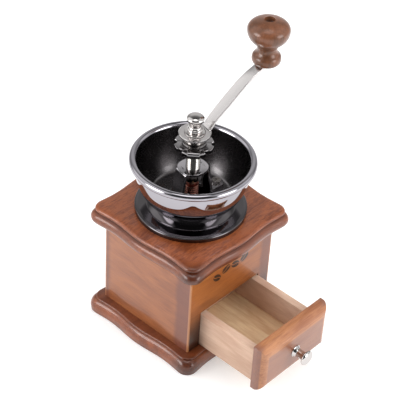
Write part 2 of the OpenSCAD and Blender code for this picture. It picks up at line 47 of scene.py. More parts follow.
# box and boards
WALL_OUT = 50.0          # half the box's width
WALL_T = 8.0
WALL_LOW = 15.0
WALL_HIGH = 99.0
WALL_EASE = 0.9          # round of the box's upright corners
MOUTH_HALF = 36.2        # half the width of the drawer's opening
MOUTH_HIGH = 51.9
DECK_Z = 116.0           # top board's upper face
DECK_BORE = 23.0
BOARD_HALF = 61.2
BOARD_WAVE = 1.2         # height of the wave along each side
WAVE_REACH = BOARD_HALF * 0.52
BOARD_CORNER = 9.0
CORNER_SHADE_FROM = 96.0        # painted shade at the near corner starts where -x - y passes this
CORNER_SHADE_FADE = 16.0
CORNER_SHADE_DEEP = 0.75

# hopper
FLOOR_Z = 128.0          # bowl's floor
WAIST_Z = 122.5
WAIST_R = 31.0
RIM_Z = 165.0
RIM_R = 52.7
LIP_R = 3.1
SHELL_T = 1.6
THROAT_R = RIM_R - 2 * LIP_R + SHELL_T
BELL_POWER = 2.5
FEED_R = 18.0            # hole in the bowl's floor

# burrs
CONE_LOW = 99.0
CONE_HIGH = 127.0
OUTER_LOW = 97.0
OUTER_HIGH = 126.4
FLUTES = 12

# bridge
BRIDGE_TURN = -8 * RAD
BRIDGE_T = 2.5
BOSS_Z = 158.5           # plate's upper face
BOSS_W = 23.4
OVAL_POWER = 2.4
BEND_R = 12.5            # from the middle to the bends
LEG_R = 17.5             # from the middle to the legs' lower ends
LEG_W = 13.0
EAR_R = 26.7             # from the middle to the screws
EAR_W = 12.0
BRIDGE_BORE = 6.05       # radius of the hole that the post stands in

# post, wheel, lock plate and collar
SHAFT_HOLE = 4.05        # radius of the holes that the shaft passes
BUSH_LOW = 143.5
POST_LOW = 156.0
POST_HIGH = 189.0
THREAD_R = 6.0
THREAD_DEEP = 0.85
THREAD_PITCH = 2.0
THREAD_END_R = 5.2       # at the post's plain ends
FLAT_LOW = 180.3         # the two flats reach down to here
FLAT_HALF = 5.0          # half the width across them
WHEEL_Z = 178.5
WHEEL_T = 4.0
WHEEL_R = 16.3
WHEEL_BORE = 6.05
WHEEL_EASE = 0.7         # its rim is eased by this much
NOTCHES = 8
NOTCH_R = 2.8
NOTCH_OUT = 0.4          # a notch's centre lies this far outside the rim
TAB_TURN = 221 * RAD
TAB_R = 17.35
TAB_W = 10.4
PLATE_Z = 182.8
PLATE_T = 1.5
COLLAR_Z = 184.6

# crank, nut and handle
DISC_Z = 191.0
ARM_T = 2.0
DISC_TOP = DISC_Z + ARM_T
CRANK_TURN = -10 * RAD
CRANK_R = 69.0
EYE_Z = 233.0            # underside of the arm's flat end
NUT_Z = 194.4
NUT_H = 15.6
BALL_Z = NUT_Z + NUT_H * 0.79
BALL_R = 7.3
KNOB_Z = 235.3

# spring
SPRING_TURNS = 6
WIRE_R = 0.8
COIL_R = 4 + WIRE_R + 0.45
SPRING_LOW = 127.8
SPRING_HIGH = 140.9

# drawer
PANEL_Y = -113.4         # back of the front panel
PANEL_W = 84.0
PANEL_H = 46.0
PANEL_T = 11.0
PANEL_LOW = 15.6
PANEL_LIP = 3.0          # square part of the panel's edge, behind the quarter round
DRAWER_W = 71.2
DRAWER_H = 34.6
DRAWER_LEN = 89.0
DRAWER_T = 7.0
DRAWER_LOW = 15.3
SHEET_RISE = 4.0         # underside of the drawer's floor above the sides' lower edges
SHEET_T = 4.0
PULL_Z = 36.3

# coffee beans printed on the front wall: place along and up, and lean in degrees
BEAN_L = 10.4
BEAN_W = 6.8
BEANS = [(-18.5, 80.0, 35), (-7.4, 83.2, -20), (3.8, 82.0, 25), (15.0, 83.4, -30)]


# ---------------------------------------------------------------- mesh making

def circle(count):
    """That many angles, evenly round the circle."""
    return np.arange(count) * 2 * math.pi / count


def grid_faces(rows, cols, wrap_rows, wrap_cols):
    """Quads between neighbouring rows and columns of a grid; a wrapped way joins its last line to its
    first."""
    i = np.arange(rows if wrap_rows else rows - 1)[:, None]
    j = np.arange(cols if wrap_cols else cols - 1)[None, :]
    below = i % rows * cols
    above = (i + 1) % rows * cols
    left, right = j, (j + 1) % cols
    return np.stack([below + left, below + right, above + right, above + left], -1).reshape(-1, 4)


def placed(name, mesh, body, node, finishes, sharp):
    """Object round a finished mesh, smooth but for edges sharper than so many degrees, in place of a node."""
    mesh.shade_smooth()
    mesh.set_sharp_from_angle(angle=sharp * RAD)
    for finish in finishes:
        mesh.materials.append(finish)
    obj = bpy.data.objects.new(name, mesh)
    bpy.context.scene.collection.objects.link(obj)
    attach(obj, body)
    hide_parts(node)
    return obj


def piece(name, shells, body, node, finishes, sharp=35, stain_and_shade=None):
    """One object from shells, each (points rows x cols x 3 in mm, wrap_rows, wrap_cols).

    Rows that meet in one point are welded, so seams and poles are closed."""
    points, faces, base = [], [], 0
    for grid, wrap_rows, wrap_cols in shells:
        points.append(np.reshape(grid, (-1, 3)))
        faces.append(grid_faces(*grid.shape[:2], wrap_rows, wrap_cols) + base)
        base += len(points[-1])
    mesh = bpy.data.meshes.new(name)
    mesh.from_pydata(np.concatenate(points) * MM, [], np.concatenate(faces))
    if stain_and_shade is not None:
        layer = mesh.attributes.new("stain_and_shade", "FLOAT", "POINT")
        layer.data.foreach_set("value", np.ravel(stain_and_shade).astype(np.float32))
    work = bmesh.new()
    work.from_mesh(mesh)
    bmesh.ops.remove_doubles(work, verts=work.verts, dist=1e-4 * MM)
    work.to_mesh(mesh)
    work.free()
    mesh.validate()
    return placed(name, mesh, body, node, finishes, sharp)


def filleted(corners, steps=6):
    """Polyline whose corners (x, y, radius) are rounded by arcs tangent to both sides: at share t of an arc
    of angle A, from its centre, (sin((1 - t) A) u + sin(t A) v) / sin A, between its end radii u and v."""
    out = []
    pts = np.array([c[:2] for c in corners], float)
    for k, corner in enumerate(corners):
        p, radius = pts[k], corner[2]
        if radius <= 0 or k in (0, len(corners) - 1):
            out.append(p)
            continue
        a, b = pts[k - 1] - p, pts[k + 1] - p
        a_len, b_len = np.linalg.norm(a), np.linalg.norm(b)
        a, b = a / a_len, b / b_len
        half = math.acos(np.clip(a @ b, -1, 1)) / 2
        if half > 1.55:
            out.append(p)
            continue
        reach = min(radius / math.tan(half), a_len * 0.49, b_len * 0.49)
        r = reach * math.tan(half)
        mid = (a + b) / np.linalg.norm(a + b)
        centre = p + mid * r / math.sin(half)
        u, v = p + a * reach - centre, p + b * reach - centre
        total = math.pi - 2 * half
        t = np.linspace(0, 1, steps + 1)[:, None]
        out.extend(centre + (np.sin((1 - t) * total) * u + np.sin(t * total) * v) / math.sin(total))
    return np.array(out)


def carried_round(radii, angles, heights):
    """Points (r cos a, r sin a, z) for whole arrays of radii, angles and heights."""
    x, y = radii * np.cos(angles), radii * np.sin(angles)
    return np.stack([x, y, np.broadcast_to(heights, x.shape)], -1)


def turned(profile, sides=96):
    """Surface of revolution: a profile (r, z) carried round the Z axis."""
    profile = np.asarray(profile, float)
    return carried_round(profile[:, 0:1], circle(sides), profile[:, 1:2])


def moved(points, at=(0, 0, 0), turn=0.0):
    """Points turned about +Z and then moved."""
    c, s = math.cos(turn), math.sin(turn)
    x, y, z = points[..., 0], points[..., 1], points[..., 2]
    return np.stack([c * x - s * y + at[0], s * x + c * y + at[1], z + at[2]], -1)


def arc(cx, cy, rx, ry, a0, a1, n):
    """Ellipse arc (cx + rx cos a, cy + ry sin a), n angles a from a0 to a1 in degrees."""
    a = np.linspace(a0, a1, n) * RAD
    return np.stack([cx + rx * np.cos(a), cy + ry * np.sin(a)], -1)


def flowing(points, n):
    """Smooth curve through the points: Catmull-Rom cubics, n evenly spread parameters in all."""
    p = np.asarray(points, float)
    ext = np.concatenate([[2 * p[0] - p[1]], p, [2 * p[-1] - p[-2]]])
    t = np.linspace(0, len(p) - 1, n)
    k = np.minimum(t.astype(int), len(p) - 2)
    f = (t - k)[:, None]
    a, b, c, d = ext[k], ext[k + 1], ext[k + 2], ext[k + 3]
    cubic = (3 * b - a - 3 * c + d) * f ** 3
    return 0.5 * (2 * b + (c - a) * f + (2 * a - 5 * b + 4 * c - d) * f ** 2 + cubic)


def rounded_rectangle(steps):
    """Rounded rectangle's points as (sign of x, sign of y, cos, sin): each lies at its sign times the half
    sides less the round, plus the round times the quarter circle."""
    a = np.linspace(0, math.pi / 2, steps + 1)
    corners = []
    for k, signs in enumerate([(1, 1), (-1, 1), (-1, -1), (1, -1)]):
        c, s = round(math.cos(k * math.pi / 2)), round(math.sin(k * math.pi / 2))
        quarter = [np.cos(a) * c - np.sin(a) * s, np.cos(a) * s + np.sin(a) * c]
        corners.append(np.stack([np.full(steps + 1, signs[0]), np.full(steps + 1, signs[1]), *quarter], -1))
    return np.concatenate(corners)


def eased(z0, z1, edge, steps):
    """Insets and heights of a body between two heights whose rims are quarter rounds of radius edge."""
    a = np.linspace(0, math.pi / 2, steps + 1)
    insets = np.r_[edge * (1 - np.sin(a)), edge * (1 - np.cos(a))]
    heights = np.r_[z0 + edge * (1 - np.cos(a)), z1 - edge * (1 - np.sin(a))]
    return zip(insets, heights)


def rounded_box(low, high):
    """Closed box with rounded edges: rounded rectangles stacked along Z, drawn in at both ends by the same
    arc."""
    edge = 0.35
    steps = 2
    low, high = np.array(low, float), np.array(high, float)
    half, mid = (high - low) / 2, (high + low) / 2
    ring = rounded_rectangle(steps)
    rows = [np.zeros((len(ring), 3)) + [0, 0, -half[2]]]
    for inset, z in eased(-half[2], half[2], edge, steps):
        xy = ring[:, :2] * (half[:2] - edge) + ring[:, 2:] * (edge - inset)
        rows.append(np.c_[xy, np.full(len(ring), z)])
    rows.append(np.zeros((len(ring), 3)) + [0, 0, half[2]])
    return np.array(rows) + mid


def strip(path, widths, thick, edge):
    """Flat bar carried along a path (x, z): a rounded rectangle, widths along Y and thick along the path's
    normal, set square to the path and closed at both ends."""
    path = np.stack([path[:, 0], np.zeros(len(path)), path[:, 1]], -1)
    along = np.gradient(path, axis=0)
    along /= np.linalg.norm(along, axis=1)[:, None]
    across = np.array([0.0, 1.0, 0.0])
    normal = np.cross(across, along)
    ring = rounded_rectangle(3)
    widths = np.broadcast_to(widths, (len(path),))
    u = ring[:, 0] * (widths[:, None] / 2 - edge) + ring[:, 2] * edge
    v = np.broadcast_to(ring[:, 1] * (thick / 2 - edge) + ring[:, 3] * edge, u.shape)
    body = path[:, None, :] + u[..., None] * across + v[..., None] * normal[:, None, :]
    ends = [np.broadcast_to(path[k], (1, body.shape[1], 3)) for k in (0, -1)]
    return np.concatenate([ends[0], body, ends[1]])


# ---------------------------------------------------------------- finishes

def tint(code):
    """sRGB hex code as linear red, green, blue and full alpha."""
    c = np.array([int(code[k:k + 2], 16) for k in (1, 3, 5)]) / 255
    return (*np.where(c <= 0.04045, c / 12.92, ((c + 0.055) / 1.055) ** 2.4), 1.0)


def add(tree, kind, **given):
    """Adds a shader node. Keys in lower case are its settings; capitalised keys and n0, n1, ... are its
    inputs, by name and by number, and each gets a value or a link from a socket or from a node's first
    output."""
    node = tree.nodes.new("ShaderNode" + kind)
    for key, value in given.items():
        numbered = key[0] == "n" and key[1:].isdigit()
        if key.islower() and not numbered:
            setattr(node, key, value)
            continue
        socket = node.inputs[int(key[1:]) if numbered else key.replace("_", " ")]
        if isinstance(value, bpy.types.Node):
            value = value.outputs[0]
        if isinstance(value, bpy.types.NodeSocket):
            tree.links.new(value, socket)
        else:
            socket.default_value = value
    return node


def new_finish(name):
    """Empty material; returns it, its node tree and the piece's own coordinates."""
    mat = bpy.data.materials.new(name)
    mat.use_nodes = True
    mat.node_tree.nodes.clear()
    return mat, mat.node_tree, add(mat.node_tree, "TexCoord").outputs["Object"]


def wood(name, light, dark, along, rough=0.36, coat=0.72, contrast=1.0, grain_mm=1.3, length=12, deep=0.35,
         relief_mm=0.08, stain_and_shade_colour=None, paint=None):
    """Beech, stained and, where coat is above 0, lacquered to a gloss. The grain runs along one axis: noise
    stretched that way makes streaks grain_mm wide and length times as long, and broader clouds make its
    bands; pores are dark dashes, drawn 0.5 mm wide, twice the real width, so that they show, and mixed in
    by deep."""
    mat, tree, place = new_finish(name)

    def streaks(width_mm, length_mm, detail, distortion=0.0):
        """Noise of one width across the grain and another along it."""
        per_m = [1000 / width_mm] * 3
        per_m[along] = 1000 / length_mm
        spread = add(tree, "Mapping", Vector=place, Scale=per_m)
        return add(tree, "TexNoise", Vector=spread, Scale=1.0, Detail=detail, Roughness=0.62,
                   Distortion=distortion)

    grain = streaks(grain_mm, grain_mm * length, 5.0, 0.5)
    off_mean = add(tree, "Math", operation="SUBTRACT", n0=grain, n1=0.5)
    bands = streaks(14.0, 55.0, 2.0, 0.6)
    streak = add(tree, "Math", operation="MULTIPLY_ADD", n0=off_mean, n1=contrast, n2=bands)
    light_share = add(tree, "MapRange", Value=streak, From_Min=0.30, From_Max=0.68)
    body = add(tree, "Mix", data_type="RGBA", n0=light_share, n6=tint(dark), n7=tint(light)).outputs[2]
    pores = add(tree, "MapRange", Value=streaks(0.5, 4.5, 1.0), From_Min=0.43, From_Max=0.30)
    pore_share = add(tree, "Math", operation="MULTIPLY", n0=pores, n1=deep)
    body = add(tree, "Mix", data_type="RGBA", n0=pore_share, n6=body, n7=tint(dark)).outputs[2]
    # darkening toward a given colour by a per-point attribute: partly real stain and partly painted shade, as
    # each piece sets it
    if stain_and_shade_colour:
        amount = add(tree, "Attribute", attribute_name="stain_and_shade").outputs["Fac"]
        uneven = add(tree, "Math", operation="MULTIPLY_ADD", use_clamp=True, n0=off_mean, n1=1.3, n2=amount)
        touched = add(tree, "Math", operation="GREATER_THAN", n0=amount, n1=0.02)
        stain_and_shade_share = add(tree, "Math", operation="MULTIPLY", n0=uneven, n1=touched)
        body = add(tree, "Mix", data_type="RGBA", n0=stain_and_shade_share, n6=body, n7=tint(stain_and_shade_colour)).outputs[2]
    if paint:
        body = paint(tree, place, body)
    sunk = add(tree, "Math", operation="MULTIPLY", n0=pores, n1=0.6)
    height = add(tree, "Math", operation="SUBTRACT", n0=grain, n1=sunk)
    relief = add(tree, "Bump", Strength=0.4, Distance=relief_mm * MM, Height=height)
    level = add(tree, "Math", operation="MULTIPLY_ADD", n0=grain, n1=0.16, n2=rough - 0.08)
    shader = add(tree, "BsdfPrincipled", Base_Color=body, Roughness=level, Normal=relief,
                 Specular_IOR_Level=0.35, Coat_Weight=coat, Coat_Roughness=0.12)
    add(tree, "OutputMaterial", Surface=shader)
    return mat


def metal(name, colour, rough, grain_mm=0.6, marks=0.03, brushed=None, bump=0.0, worn=None):
    """Plated or machined metal. Fine marks, grain_mm wide, and broad smudges vary its roughness; brushed
    draws the marks out along one axis, bump gives them depth, and worn is the colour that the smudges lean
    to."""
    mat, tree, place = new_finish(name)
    per_m = [1000 / grain_mm] * 3
    if brushed is not None:
        per_m[brushed] /= 30
    spread = add(tree, "Mapping", Vector=place, Scale=per_m)
    spots = add(tree, "TexNoise", Vector=spread, Scale=1.0, Detail=4.0)
    smudges = add(tree, "TexNoise", Vector=place, Scale=55.0, Detail=2.0)
    spot_swing = add(tree, "Math", operation="SUBTRACT", n0=spots, n1=0.5)
    smudge_swing = add(tree, "Math", operation="SUBTRACT", n0=smudges, n1=0.5)
    level = add(tree, "Math", operation="MULTIPLY_ADD", n0=spot_swing, n1=marks * 2, n2=rough)
    level = add(tree, "Math", operation="MULTIPLY_ADD", use_clamp=True, n0=smudge_swing, n1=marks, n2=level)
    shader = add(tree, "BsdfPrincipled", Metallic=1.0, Base_Color=tint(colour), Roughness=level)
    if worn:
        share = add(tree, "Math", operation="MULTIPLY", n0=smudges, n1=0.35)
        body = add(tree, "Mix", data_type="RGBA", n0=share, n6=tint(colour), n7=tint(worn)).outputs[2]
        tree.links.new(body, shader.inputs["Base Color"])
    if bump:
        relief = add(tree, "Bump", Strength=bump, Distance=0.15 * MM, Height=spots)
        tree.links.new(relief.outputs[0], shader.inputs["Normal"])
    add(tree, "OutputMaterial", Surface=shader)
    return mat


def sunburst_and_painted_light(axis, low_end, high_end, foot_shade=0.06):
    """Darker purple-brown bands toward a wall's upright edges, partly a sunburst stain and partly a painted
    reflection of the lacquer's sheen: low_end and high_end are the widths in mm of the bands at the axis's
    two ends, and the last argument is how much painted shade darkens the foot of the wall. The rounded
    upright corners get a painted highlight in paler wood colour."""
    fade = 5.5
    wander_by = 5.0
    shade_top, shade_full = 70.0, 26.0
    highlight_from, highlight_full = 2 * WALL_OUT - 1.7, 2 * WALL_OUT - 1.1

    def paint(tree, place, body):
        """The body's colour with the bands, the painted shade at the foot and the painted highlight on the
        corners laid over it.
        """
        parts = add(tree, "SeparateXYZ", Vector=place).outputs
        wander = add(tree, "TexNoise", Vector=place, Scale=70.0, Detail=3.0)
        bands = []
        # bands toward the upright edges: partly sunburst stain, partly a painted reflection of the lacquer's
        # sheen
        for sign, width in ((-1, low_end), (1, high_end)):
            out = add(tree, "Math", operation="MULTIPLY", n0=parts[axis], n1=sign)
            far = add(tree, "Math", operation="MULTIPLY_ADD", n0=wander, n1=wander_by * MM, n2=out)
            inner = WALL_OUT - width
            bands.append(add(tree, "MapRange", interpolation_type="SMOOTHSTEP", Value=far,
                             From_Min=inner * MM, From_Max=(inner + fade) * MM, To_Max=0.76))
        edge = add(tree, "Math", operation="MAXIMUM", n0=bands[0], n1=bands[1])
        # painted shade: the wall darkens toward its foot, on the front wall deeply, where the drawer shades
        # it
        low = add(tree, "MapRange", interpolation_type="SMOOTHSTEP", Value=parts[2], From_Min=shade_top * MM,
                  From_Max=shade_full * MM, To_Max=foot_shade)
        # painted highlight: the rounded upright corners, where light catches them, turn to paler wood colour
        x_out = add(tree, "Math", operation="ABSOLUTE", n0=parts[0])
        y_out = add(tree, "Math", operation="ABSOLUTE", n0=parts[1])
        cornerward = add(tree, "Math", operation="ADD", n0=x_out, n1=y_out)
        corner_highlight = add(tree, "MapRange", interpolation_type="SMOOTHSTEP", Value=cornerward,
                     From_Min=highlight_from * MM, From_Max=highlight_full * MM, To_Max=0.75)
        # edge band colour, painted shade at the foot, painted highlight on the corners
        for share, colour in ((edge, "#6a3a2e"), (low, "#2e150a"), (corner_highlight, "#b97f55")):
            body = add(tree, "Mix", data_type="RGBA", n0=share, n6=body, n7=tint(colour)).outputs[2]
        return body

    return paint


def printed_beans(tree, place, body):
    """A row of plain coffee beans printed in dark brown: ellipses u^2 + v^2 < 1, each parted by the S-shaped
    crease v = 0.22 sin 3u, with the ink a little worn."""
    ink = None
    for along_mm, up_mm, lean in BEANS:
        spot = add(tree, "Mapping", vector_type="TEXTURE", Vector=place, Rotation=(0, lean * RAD, 0),
                   Location=(along_mm * MM, -WALL_OUT * MM, up_mm * MM))
        parts = add(tree, "SeparateXYZ", Vector=spot).outputs
        u = add(tree, "Math", operation="DIVIDE", n0=parts[0], n1=BEAN_L / 2 * MM)
        v = add(tree, "Math", operation="DIVIDE", n0=parts[2], n1=BEAN_W / 2 * MM)
        v_squared = add(tree, "Math", operation="MULTIPLY", n0=v, n1=v)
        reach = add(tree, "Math", operation="MULTIPLY_ADD", n0=u, n1=u, n2=v_squared)
        within = add(tree, "Math", operation="LESS_THAN", n0=reach, n1=1.0)
        wave = add(tree, "Math", operation="SINE", n0=add(tree, "Math", operation="MULTIPLY", n0=u, n1=3.0))
        above = add(tree, "Math", operation="MULTIPLY_ADD", n0=wave, n1=-0.22, n2=v)
        from_crease = add(tree, "Math", operation="ABSOLUTE", n0=above)
        clear = add(tree, "Math", operation="GREATER_THAN", n0=from_crease, n1=0.12)
        bean = add(tree, "Math", operation="MULTIPLY", n0=within, n1=clear)
        ink = add(tree, "Math", operation="MAXIMUM", n0=bean, n1=ink) if ink is not None else bean
    depth = add(tree, "SeparateXYZ", Vector=place).outputs[1]
    on_front = add(tree, "Math", operation="LESS_THAN", n0=depth, n1=(WALL_T - WALL_OUT + 2) * MM)
    fleck = add(tree, "TexNoise", Vector=place, Scale=900.0, Detail=2.0)
    cover = add(tree, "Math", operation="MULTIPLY_ADD", n0=fleck, n1=0.5, n2=0.72)
    inked = add(tree, "Math", operation="MULTIPLY", n0=ink, n1=on_front)
    share = add(tree, "Math", operation="MULTIPLY", use_clamp=True, n0=inked, n1=cover)
    return add(tree, "Mix", data_type="RGBA", n0=share, n6=body, n7=tint("#1d100a")).outputs[2]


def front_paint(tree, place, body):
    """The front wall's edge bands, with deep painted shade along its foot beside the drawer, and the printed
    beans over them.
    """
    return printed_beans(tree, place, sunburst_and_painted_light(0, -8.0, 13.0, 0.95)(tree, place, body))


# Stained beech under gloss lacquer: warm orange brown with fine grain, darker toward the upright edges in
# bands that are partly sunburst stain and partly painted reflection, with painted shade at the foot and a
# painted highlight on the corners.
side_wood = wood("lacquered_beech_side_walls", "#9d5d33", "#834a29", 1, contrast=0.75,
                 paint=sunburst_and_painted_light(1, 16.0, 5.0))
front_wood = wood("lacquered_beech_front_wall", "#a25f2c", "#84481f", 0, contrast=0.75, coat=0.5,
                  paint=front_paint)
back_wood = wood("lacquered_beech_back_wall", "#a25f2c", "#84481f", 0, contrast=0.75,
                 paint=sunburst_and_painted_light(0, 12.0, 12.0))
# The boards' open-pored beech: redder, with short strong grain, darkened partly by stain gathered in the
# moulding's grooves and partly by painted shade in the grooves, under the beads, next to the wall and at the
# near corner.
board_wood = wood("lacquered_beech_boards", "#98512a", "#6d3418", 0, coat=0.55, contrast=1.35, grain_mm=1.5,
                  length=5, deep=0.45, relief_mm=0.2, stain_and_shade_colour="#34140b")
# The drawer's front: paler on its rounded top, and rosy brown on its face and ends as painted shade.
panel_wood = wood("lacquered_beech_drawer_panel", "#b3784e", "#8f5636", 0, stain_and_shade_colour="#7d5346")
# Turned handle: end grain and side grain under a thinner lacquer, cooler brown and less streaked.
knob_wood = wood("turned_beech_handle", "#794a31", "#563420", 2, coat=0.5, contrast=0.8, deep=0.12)
# Bare beech and plywood inside the drawer: matt and pale, without stain or lacquer.
tray_wood = wood("bare_drawer_sides", "#d9bba5", "#c09d87", 1, rough=0.6, coat=0.0, contrast=0.5)
floor_wood = wood("bare_plywood_floor", "#f0d3aa", "#d8b187", 1, rough=0.6, coat=0.0, grain_mm=3.0)
# Black nickel on spun steel: a smoky mirror outside, satin inside the bowl; one plating in three tints,
# lighter outside as a painted reflection, darker inside the bowl and darkest, nearly black, on the foot as
# painted shade.
nickel_out_lightened = metal("black_nickel_bowl_lightened", "#a8a5ab", 0.03, marks=0.02)
nickel_in_darkened = metal("black_nickel_satin_darkened", "#6e6b6c", 0.26, marks=0.05)
nickel_foot_darkened = metal("black_nickel_foot_darkened", "#5e5b5d", 0.03, marks=0.01)
bridge_plate = metal("black_nickel_bridge", "#b4b1b4", 0.12, grain_mm=1.2, marks=0.06)
# Bright nickel plate: a mirror on the nut, washer and pull; the arm is brushed along its length.
chrome = metal("bright_nickel_plate", "#c9c5c3", 0.05)
brushed_nickel = metal("brushed_nickel_arm", "#cbc7c6", 0.2, grain_mm=0.8, marks=0.1, brushed=0, bump=0.05)
# Plain steel: darkened on the wheel and lock plate, as machined on the screws, and tinted copper on the shaft
# and spring; on the shaft the copper is a painted reflection of the wooden box.
dark_steel = metal("darkened_steel", "#918e8f", 0.18, marks=0.1, worn="#aeabab")
bright_steel = metal("machined_steel", "#c9c5c0", 0.16, marks=0.08)
copper_tinted_steel = metal("steel_tinted_copper", "#c4897a", 0.2, marks=0.08)
# Hardened iron as cast and ground: dull dark grey, a little rough.
burr_iron = metal("hardened_burr_iron", "#5a5856", 0.34, grain_mm=0.8, marks=0.12, bump=0.2)


# ---------------------------------------------------------------- boards

def board_ring(insets):
    """Wavy square outlines, one row per inset: each side's half width is half + wave cos(pi s / reach), the
    corners are quarter rounds, and the whole line is eased by averaging neighbours."""
    insets = np.atleast_1d(insets)[:, None]
    half = BOARD_HALF - insets
    reach = half - BOARD_CORNER
    along = np.linspace(1, -1, 41) * reach
    edge = np.stack([along, half + BOARD_WAVE * np.cos(math.pi * along / WAVE_REACH)], -1)
    lead = BOARD_CORNER + BOARD_WAVE * np.cos(math.pi * reach / WAVE_REACH)
    a = (90 + 90 * np.arange(1, 12) / 12) * RAD
    corner = np.stack([-reach + lead * np.cos(a), reach + lead * np.sin(a)], -1)
    side = np.concatenate([edge, corner], 1)
    rows = []
    for k in range(4):
        c, s = round(math.cos(k * math.pi / 2)), round(math.sin(k * math.pi / 2))
        rows.append(np.stack([c * side[..., 0] - s * side[..., 1], s * side[..., 0] + c * side[..., 1]], -1))
    line = np.concatenate(rows, 1)
    for _ in range(3):
        line = (np.roll(line, 1, 1) + 2 * line + np.roll(line, -1, 1)) / 4
    return line


def board(name, node, profile, bore, stain_and_shade_marks, flat_stain_and_shade):
    """A moulded board: its profile (inset, z) carried round the wavy outline and closed by flat faces to a
    bore or to the middle. Its darkening, partly stain gathered in the grooves and partly painted shade in
    the grooves and under the beads, is read at each height from marks (z, amount); next to the moulding's
    upper edge it takes the flat value, painted shade where the base board meets the wall; and it deepens
    as painted shade at the near corner, where x + y is lowest."""
    profile[:, 1] = np.maximum.accumulate(profile[:, 1])
    line = board_ring(profile[:, 0])
    moulding = np.concatenate([line, np.broadcast_to(profile[:, 1][:, None, None], (*line.shape[:2], 1))], -1)
    around = np.arctan2(line[0, :, 1], line[0, :, 0])
    hub = np.stack([bore * np.cos(around), bore * np.sin(around)], -1)

    def face(outer, z):
        """Rows from the bore out to the edge on a flat face."""
        t = np.linspace(0, 1, 9)[:, None, None]
        xy = hub * (1 - t) + outer * t
        return np.concatenate([xy, np.full((*xy.shape[:2], 1), z)], -1)

    low = face(line[0], profile[0, 1])[:-1]
    top = face(line[-1], profile[-1, 1])[::-1][1:]
    edge = slice(len(low), len(low) + len(moulding))
    shell = np.concatenate([low, moulding, top])
    stain_and_shade = np.zeros(shell.shape[:2])
    heights, amounts = np.transpose(stain_and_shade_marks)
    # stain in the grooves and painted shade in the grooves and under the beads, by height; then painted shade
    # on the flat next to the wall
    stain_and_shade[edge] = np.interp(profile[:, 1], heights, amounts)[:, None]
    stain_and_shade[edge.stop:edge.stop + 2] = flat_stain_and_shade
    # painted shade: the near corner, where x + y is lowest, is darkened
    patch = np.clip((-shell[edge, :, 0] - shell[edge, :, 1] - CORNER_SHADE_FROM) / CORNER_SHADE_FADE, 0, 1)
    stain_and_shade[edge] = np.maximum(stain_and_shade[edge], CORNER_SHADE_DEEP * patch)
    piece(name, [(shell, bore > 0, True)], "mill", node, [board_wood], stain_and_shade=stain_and_shade)


# the marks darken the grooves with stain and painted shade, the beads' undersides with painted shade, and the
# base's flat by the wall with painted shade
board("moulded_base_board", "base_board", np.concatenate([
    [[0.9, 0.0], [0.3, 0.3]],
    arc(4.4, 5.0, 4.4, 8.2, 196, 103, 16),
    arc(4.4, 14.0, 1.2, 1.0, 200, 95, 5),
]), 0.0, [(0, 0.35), (4, 0.1), (9, 0.1), (12.6, 0.35), (13.4, 0.45), (15, 0.35)], flat_stain_and_shade=0.35)
board("moulded_top_board", "top_board", np.concatenate([
    [[4.6, 99.0]],
    arc(4.6, 105.0, 4.6, 5.7, 262, 106, 20),
    [[3.7, 110.75]],
    arc(5.4, 113.4, 3.0, 2.5, 236, 95, 12),
]), DECK_BORE, [(99, 0.5), (103, 0.3), (107, 0.2), (109.6, 0.4), (110.8, 0.7), (112.4, 0.3), (114.5, 0.06),
                (DECK_Z, 0)], flat_stain_and_shade=0.0)

# ---------------------------------------------------------------- walls

def wall_board(name, node, turn, finish, opening=None):
    """Board mitred into its neighbours: an outline in the X-Z plane carried from face to back, whose half
    width first follows an eighth of the box's rounded corner and then the mitre; turned about +Z into its
    place."""
    a = np.linspace(0, math.pi / 4, 5)
    depths = np.r_[WALL_EASE * (1 - np.cos(a)), WALL_T]
    halves = np.r_[WALL_OUT - WALL_EASE + WALL_EASE * np.sin(a), WALL_OUT - WALL_T]
    rings = []
    for depth, half in zip(depths, halves):
        ring = [(-half, WALL_LOW)]
        if opening:
            w, h = opening
            ring += [(-w, WALL_LOW), (-w, h), (w, h), (w, WALL_LOW)]
        ring += [(half, WALL_LOW), (half, WALL_HIGH), (-half, WALL_HIGH)]
        rings.append([(x, depth - WALL_OUT, z) for x, z in ring])
    rings = moved(np.array(rings), turn=turn)
    rows, n = rings.shape[:2]
    faces = grid_faces(rows, n, False, True).tolist()
    faces += [list(range(n))[::-1], list(range(n * (rows - 1), n * rows))]
    mesh = bpy.data.meshes.new(name)
    mesh.from_pydata(rings.reshape(-1, 3) * MM, [], faces)
    work = bmesh.new()
    work.from_mesh(mesh)
    bmesh.ops.recalc_face_normals(work, faces=work.faces)
    work.to_mesh(mesh)
    work.free()
    placed(name, mesh, "mill", node, [finish], 30)


wall_board("front_wall_board", "front_wall", 0, front_wood, opening=(MOUTH_HALF, MOUTH_HIGH))
wall_board("right_wall_board", "right_wall", math.pi / 2, side_wood)
wall_board("back_wall_board", "back_wall", math.pi, back_wood)
wall_board("left_wall_board", "left_wall", -math.pi / 2, side_wood)

# ---------------------------------------------------------------- hopper

def bowl_r(z):
    """Bowl's outer radius, a bell: throat - (throat - waist) (1 - t)^power, t from 0 at the waist to 1 at
    the rim."""
    t = np.clip((z - WAIST_Z) / (RIM_Z - WAIST_Z), 0, 1)
    return THROAT_R - (THROAT_R - WAIST_R) * (1 - t) ** BELL_POWER


